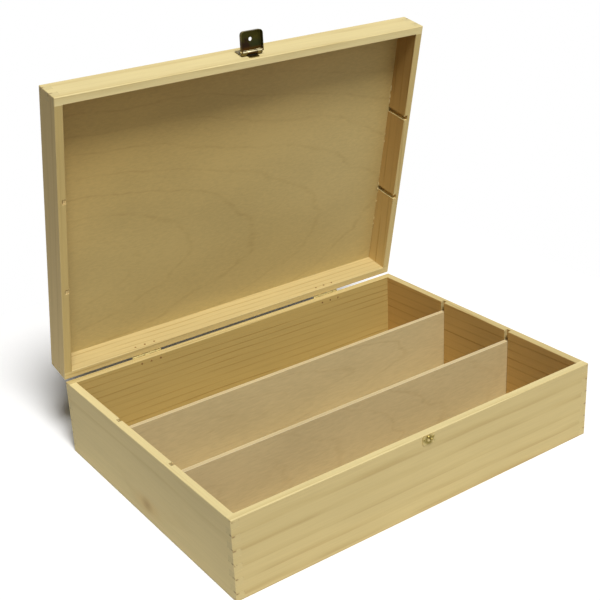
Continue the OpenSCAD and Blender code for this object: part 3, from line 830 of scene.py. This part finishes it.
def add_nail(bm, at, radius, reach):
    """One nail whose head sits on at and whose point goes towards +Y, as far as reach."""
    dome, neck = NAIL_DOME, NAIL_SHANK / 2
    profile = [(0, -dome), (0.55 * radius, -0.86 * dome), (0.9 * radius, -0.4 * dome),
               (radius, -0.12 * dome), (radius, 0), (neck, 0), (neck, reach - NAIL_SHANK),
               (0.1 * neck, reach)]
    verts = [bm.verts.new(at + Vector((r, y, 0))) for r, y in profile]
    edges = [bm.edges.new(pair) for pair in zip(verts, verts[1:])]
    bmesh.ops.spin(bm, geom=verts + edges, cent=at, axis=(0, 1, 0), steps=14,
                   angle=2 * math.pi, use_merge=True, use_duplicate=False)


# ---------- one operator for each group of pieces ----------

class WINEBOX_OT_boards(bpy.types.Operator):
    """Give the eight pine boards their figure, each from the plank that it was sawn from"""
    bl_idname = "winebox.boards"
    bl_label = "Pine boards"

    def execute(self, context):
        settings = context.scene.winebox_pine
        for plank in PLANKS:
            for body in ("base", "lid"):
                finish_node(f"{body}_{plank}_board", planed_pine(plank, body == "lid", settings))
        return {"FINISHED"}


class WINEBOX_OT_plywood(bpy.types.Operator):
    """Give the bottom, the lid panel and the two dividers their veneer"""
    bl_idname = "winebox.plywood"
    bl_label = "Plywood panels and dividers"

    def execute(self, context):
        settings = context.scene.winebox_plywood
        logs = {
            "lid_panel": Log(pith=(-235, 48, 92), turn=(0, 17, 0), ring=19, line=4, warp=26,
                             wave=(170, 60), ragged=5, late=0.84, seed=2.2),
            "bottom_panel": Log(pith=(-260, -30, 0), turn=(0, 15, 0), ring=17, warp=26,
                                wave=(170, 60), ragged=5, late=0.84, seed=9.1),
            "front_divider": Log(pith=(-320, -20, 20), turn=(0, 0, 9), ring=9, warp=18,
                                 wave=(150, 40), ragged=5, late=0.84, seed=15.3),
            "rear_divider": Log(pith=(-280, 60, 35), turn=(0, 0, -8), ring=9, warp=18,
                                wave=(150, 40), ragged=5, late=0.84, seed=21.8),
        }
        for node, log in logs.items():
            on_lid = node == "lid_panel"
            through = 1 if node.endswith("divider") else 2
            low, high = shut_box(node) if on_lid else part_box(node)
            middle = (low[through] + high[through]) / 2 / MM
            thickness = (high[through] - low[through]) / MM
            face = settings.divider if through == 1 else settings.veneer
            finish_node(node, sanded_plywood(f"sanded_plywood_{node}", on_lid, through, middle,
                                             thickness, log, face, settings))
        return {"FINISHED"}


class WINEBOX_OT_hinges(bpy.types.Operator):
    """Round the edges of the two nailed hinges and plate them"""
    bl_idname = "winebox.hinges"
    bl_label = "Hinges"

    def execute(self, context):
        settings = context.scene.winebox_brass
        brass = plain_brass("plated_brass_hinge", settings, settings.hinge, settings.aged)
        for side in ("left", "right"):
            for part in ("base_leaf", "lid_leaf", "pin"):
                softened_copy(f"{side}_hinge_{part}", brass, settings.edge)
        return {"FINISHED"}


class WINEBOX_OT_clasp(bpy.types.Operator):
    """Press the hasp, and round the edges of its plate, its pin and the keeper"""
    bl_idname = "winebox.clasp"
    bl_label = "Hasp and keeper"

    def execute(self, context):
        settings = context.scene.winebox_brass
        brass = barrel_brass(settings)
        for node in ("clasp_plate", "clasp_pin"):
            softened_copy(node, brass, settings.edge)
        softened_copy("keeper_plate", shaded_keeper_brass(settings), settings.edge)
        raised = Matrix.Translation(JOINTS["hasp_hinge"]["pos_m"]) @ Matrix.Rotation(math.pi, 4, "X")
        hasp = new_piece("hasp_pressed", pressed_hasp, hollow_brass(settings), "hasp",
                         ["hasp"], raised)
        sheet = hasp.modifiers.new("sheet", "SOLIDIFY")
        sheet.thickness = SHEET * MM
        sheet.offset = 0
        sheet.use_even_offset = True
        round_edges(hasp, settings.edge)
        shade(hasp)
        return {"FINISHED"}


class WINEBOX_OT_nails(bpy.types.Operator):
    """Turn the nails with domed heads"""
    bl_idname = "winebox.nails"
    bl_label = "Nails"

    def execute(self, context):
        settings = context.scene.winebox_brass
        brass = plain_brass("plated_brass_nail", settings, settings.dull)
        pale = plain_brass("plated_brass_keeper_nail", settings, settings.aged, settings.olive)
        for side in ("left", "right"):
            self.one_row(f"{side}_hinge_base_nails", False, HINGE_NAILS, brass)
            self.one_row(f"{side}_hinge_lid_nails", True, HINGE_NAILS, brass)
        self.one_row("clasp_nails", True, HINGE_NAILS, brass)
        self.one_row("keeper_nails", False, KEEPER_NAILS, pale)
        return {"FINISHED"}

    def one_row(self, node, on_lid, count, brass):
        """The nails of one node, in place of its plain ones."""
        low, high = shut_box(node) if on_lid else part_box(node)
        behind = node.startswith(("left", "right"))

        def row(bm):
            across, up = nail_row(low, high, count)
            for x in across:
                add_nail(bm, Vector((x, low.y + NAIL_DOME, up)), (high.z - low.z) / 2,
                         high.y - low.y - NAIL_DOME)
            if behind:
                middle = Vector((0, (low.y + high.y) / 2, 0))
                bmesh.ops.scale(bm, vec=(1, -1, 1), verts=bm.verts,
                                space=Matrix.Translation(-middle))

        body = frame["nodes"][node]["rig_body"]
        nails = new_piece(f"{node}_domed", row, brass, body, [node],
                          OPENING if on_lid else None)
        shade(nails)


class WINEBOX_OT_traces(bpy.types.Operator):
    """Leave dried glue along the lid panel, burst wood round the nail tips and burrs at the grooves"""
    bl_idname = "winebox.traces"
    bl_label = "Glue, burst wood and burrs"

    def execute(self, context):
        traces = context.scene.winebox_traces
        pine = context.scene.winebox_pine
        burst = torn_wood("burst_pine", pine.stain, pine.painted_shade_pine)
        burrs = torn_wood("pine_burrs", pine.inner, pine.fresh)
        glue = dried_glue(traces)
        for side, name in ((-1, "left"), (1, "right")):
            new_piece(f"lid_{name}_glue", lambda bm, s=side: glue_run(bm, s, traces.beads), glue,
                      "lid", place=OPENING)
        for body, on_lid in (("base", False), ("lid", True)):
            for side in ("left", "right"):
                node = f"{side}_hinge_{body}_nails"
                new_piece(f"{side}_{body}_burst_wood",
                          lambda bm, n=node, l=on_lid: burst_wood(bm, n, l), burst, body,
                          place=OPENING if on_lid else None)
        new_piece("base_groove_burrs", lambda bm: groove_burrs(bm, traces.burr, False), burrs,
                  "base")
        new_piece("lid_groove_burrs", lambda bm: groove_burrs(bm, traces.burr, True), burrs,
                  "lid", place=OPENING)
        return {"FINISHED"}


def glue_run(bm, side, beads):
    """Beads of glue in the corner between the lid panel and a side board, with the lid shut."""
    luck = random.Random(11 + side)
    low, high = shut_box(f"lid_{'left' if side < 0 else 'right'}_board")
    inner_x = high.x - WALL if side > 0 else low.x + WALL
    corner_z = shut_box("lid_panel")[0].z
    patch = 0.0
    for _ in range(beads):
        if luck.random() < NEW_PATCH:
            patch = luck.uniform(low.y + 3 * WALL, high.y - 3 * WALL)
        along = patch + luck.gauss(0, 6) * MM
        size = luck.uniform(0.3, 0.75) * MM
        stretch = luck.uniform(1.0, 3.2)
        place = Matrix.Translation((inner_x - side * 0.3 * size, along, corner_z - 0.3 * size))
        shape = Matrix.Diagonal((0.8 * size, stretch * size, 0.7 * size, 1))
        bead = bmesh.ops.create_icosphere(bm, subdivisions=2, radius=1, matrix=place @ shape)
        for vertex in bead["verts"]:
            vertex.co += Vector(luck.uniform(-0.12, 0.12) for _ in range(3)) * size


def burst_wood(bm, node, on_lid):
    """A torn collar round each nail tip inside a back board."""
    luck = random.Random(node)
    low, high = shut_box(node) if on_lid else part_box(node)
    across, up = nail_row(low, high, HINGE_NAILS)
    for x in across:
        at = Matrix.Translation((x, CARCASS_HIGH.y - WALL, up))
        place = at @ Matrix.Rotation(math.pi / 2, 4, "X")
        collar = bmesh.ops.create_cone(bm, segments=11, radius1=luck.uniform(1.2, 1.55) * MM,
                                       radius2=0.6 * MM, depth=0.5 * MM, cap_ends=True,
                                       matrix=place)
        for vertex in collar["verts"]:
            vertex.co += Vector(luck.uniform(-0.14, 0.14) for _ in range(3)) * MM


def groove_burrs(bm, longest, on_lid):
    """Fibres that the saw left at the mouths of the divider grooves, with the lid shut."""
    luck = random.Random(29 + on_lid)
    inner_x = CARCASS_HIGH.x - WALL
    inward = 1 if on_lid else -1
    for node in ("front_divider", "rear_divider"):
        low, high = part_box(node)
        middle = (low.y + high.y) / 2
        clear = (high.y - low.y) / 2 + 0.1 * MM
        for side_x, side_y, _ in itertools.product((-1, 1), (-1, 1), range(BURRS)):
            reach = luck.uniform(0.4, 1.0) * longest
            at = Vector((side_x * (inner_x + luck.uniform(-0.2, 2.6) * MM),
                         middle + side_y * GROOVE_HALF, RIM_Z + inward * reach / 2))
            lean = Euler((side_y * luck.uniform(0.6, 1.3), luck.uniform(-0.6, 0.6),
                          luck.uniform(0, 6)))
            add_fibre(bm, at, lean, reach, BURR_RADIUS)
        for i in range(BRIDGES if on_lid else 0):
            along = BRIDGE_REACH * (i + luck.uniform(0.2, 0.8)) / BRIDGES
            at = Vector((-inner_x - along, middle, RIM_Z + luck.uniform(0.4, 0.9) * MM))
            lean = Euler((math.pi / 2 + luck.uniform(-0.12, 0.12), 0, luck.uniform(-0.1, 0.1)))
            add_fibre(bm, at, lean, 2 * GROOVE_HALF + 0.2 * MM, luck.uniform(0.16, 0.26) * MM)
        trim_fibres(bm, middle, clear, on_lid)


def add_fibre(bm, at, lean, reach, radius):
    """One torn fibre, thinner at one end."""
    bmesh.ops.create_cone(bm, segments=5, radius1=radius, radius2=radius / 4, depth=reach,
                          cap_ends=True,
                          matrix=Matrix.Translation(at) @ lean.to_matrix().to_4x4())


def trim_fibres(bm, middle, clear, on_lid):
    """Cuts fibres off at the saw cut, and in the base where the divider slides."""
    for vertex in bm.verts:
        off = vertex.co.y - middle
        if on_lid:
            vertex.co.z = max(vertex.co.z, RIM_Z + 0.1 * MM)
        elif abs(off) < clear:
            vertex.co.y = middle + math.copysign(clear, off)


# ---------- studio ----------

FRAME_PX = 600          # side of the square picture
SENSOR = 36.0           # camera sensor's width in millimetres
FOCAL_PX = 1138.9       # focal length as a number of pixels
CENTRE_PX = (283.22, 276.55)        # where the lens's axis meets the picture
CAMERA_AT = Vector((-0.5072, -0.6966, 0.5223))
CAMERA_TURN = [math.radians(angle) for angle in (-33.979, 22.866, -3.0)]   # round, up, roll
FLOOR_SIZE = 0.9
FLOOR_DROP = 0.0002     # keeps the floor just clear of the underside
SEEN_WHITE = 1.15       # makes the lit floor white for the camera, though it is lit a little less
FILL_FROM = Vector((0, -0.94, 0.342))
KEY_FROM = Vector((-0.116, -0.547, 0.829))


def white_floor(settings):
    """Matt white paint: it lights the object as pale paint would, and shows itself to the camera
    as pure white outside the shadow."""
    material, tree = start_material("matt_white_paint")
    seen = add_node(tree, "LightPath")["Is Camera Ray"]
    paint = add_node(tree, "Mix", {0: seen, MIX_A: settings.floor, MIX_B: (SEEN_WHITE,) * 3},
                     **IN_COLOUR)[MIX_OUT]
    shader = add_node(tree, "BsdfDiffuse", {"Color": paint})[0]
    add_node(tree, "OutputMaterial", {"Surface": shader})
    return material


def white_room(settings):
    """An even room: dim as a light, white where the camera and metal look at it."""
    world = bpy.data.worlds.new("white_room")
    world.use_nodes = True
    tree = world.node_tree
    tree.nodes.clear()
    rays = add_node(tree, "LightPath")
    direct = add_node(tree, "Math", {0: rays["Is Camera Ray"], 1: rays["Is Glossy Ray"]},
                      operation="ADD")[0]
    direct = add_node(tree, "Math", {0: direct, 1: rays["Is Transmission Ray"]},
                      operation="ADD", use_clamp=True)[0]
    strength = add_node(tree, "MapRange", {0: direct, 3: settings.ambient, 4: 1.0})[0]
    tint = add_node(tree, "Mix", {0: direct, MIX_A: settings.warmth, MIX_B: (1.0, 1.0, 1.0)},
                    **IN_COLOUR)[MIX_OUT]
    light = add_node(tree, "Background", {"Color": tint, "Strength": strength})[0]
    add_node(tree, "OutputWorld", {"Surface": light})
    bpy.context.scene.world = world


def hang_light(name, level, softness, comes_from):
    """A soft light from far away; level is what it gives a surface square to it."""
    lamp = bpy.data.lights.new(name, "SUN")
    lamp.energy = level * math.pi
    lamp.angle = softness
    light = bpy.data.objects.new(name, lamp)
    light.rotation_euler = comes_from.to_track_quat("Z", "Y").to_euler()
    bpy.context.scene.collection.objects.link(light)


def place_camera():
    """The camera, from its angles round, up and roll."""
    around, up, roll = CAMERA_TURN
    back = Vector((math.sin(around) * math.cos(up), -math.cos(around) * math.cos(up), math.sin(up)))
    right = Vector((0, 0, 1)).cross(back).normalized()
    turn = Matrix.Rotation(roll, 3, back)
    axes = Matrix((turn @ right, turn @ back.cross(right), back)).transposed()
    data = bpy.data.cameras.new("camera")
    data.sensor_width = SENSOR
    data.lens = FOCAL_PX / FRAME_PX * SENSOR
    data.shift_x = (FRAME_PX / 2 - CENTRE_PX[0]) / FRAME_PX
    data.shift_y = (CENTRE_PX[1] - FRAME_PX / 2) / FRAME_PX
    camera = bpy.data.objects.new("camera", data)
    camera.matrix_world = Matrix.Translation(CAMERA_AT) @ axes.to_4x4()
    bpy.context.scene.collection.objects.link(camera)
    bpy.context.scene.camera = camera


class WINEBOX_OT_studio(bpy.types.Operator):
    """Lay the floor, light the room and set the camera"""
    bl_idname = "winebox.studio"
    bl_label = "Studio"

    def execute(self, context):
        settings = context.scene.winebox_studio
        bm = bmesh.new()
        bmesh.ops.create_grid(bm, x_segments=1, y_segments=1, size=FLOOR_SIZE / 2)
        bmesh.ops.translate(bm, verts=bm.verts, vec=(0, 0, -FLOOR_DROP))
        mesh = bpy.data.meshes.new("floor")
        bm.to_mesh(mesh)
        bm.free()
        mesh.materials.append(white_floor(settings))
        floor = bpy.data.objects.new("floor", mesh)
        context.scene.collection.objects.link(floor)
        hang_light("key", settings.key, settings.softness, KEY_FROM)
        hang_light("fill", settings.fill, settings.fill_softness, FILL_FROM)
        white_room(settings)
        place_camera()
        context.scene.view_settings.view_transform = "Standard"
        return {"FINISHED"}


# ---------- add-on ----------

SETTINGS = {
    "winebox_pine": PineSettings,
    "winebox_plywood": PlywoodSettings,
    "winebox_brass": BrassSettings,
    "winebox_traces": TraceSettings,
    "winebox_studio": StudioSettings,
}
OPERATORS = (
    WINEBOX_OT_studio,
    WINEBOX_OT_boards,
    WINEBOX_OT_plywood,
    WINEBOX_OT_hinges,
    WINEBOX_OT_clasp,
    WINEBOX_OT_nails,
    WINEBOX_OT_traces,
)


class WINEBOX_PT_panel(bpy.types.Panel):
    """Lists what the box is made of"""
    bl_idname = "WINEBOX_PT_panel"
    bl_label = "Wooden wine box"
    bl_space_type = "VIEW_3D"
    bl_region_type = "UI"
    bl_category = "Wine Box"

    def draw(self, context):
        for operator in OPERATORS:
            self.layout.operator(operator.bl_idname)
        for group, settings in SETTINGS.items():
            box = self.layout.box()
            for name in settings.__annotations__:
                box.prop(getattr(context.scene, group), name)


CLASSES = (*SETTINGS.values(), *OPERATORS, WINEBOX_PT_panel)


def register():
    for cls in CLASSES:
        bpy.utils.register_class(cls)
    for group, settings in SETTINGS.items():
        setattr(bpy.types.Scene, group, PointerProperty(type=settings))


def unregister():
    for group in SETTINGS:
        delattr(bpy.types.Scene, group)
    for cls in reversed(CLASSES):
        bpy.utils.unregister_class(cls)


def main():
    """Registers the add-on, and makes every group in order."""
    register()
    for operator in OPERATORS:
        group, name = operator.bl_idname.split(".")
        getattr(getattr(bpy.ops, group), name)()


if __name__ == "__main__":
    main()
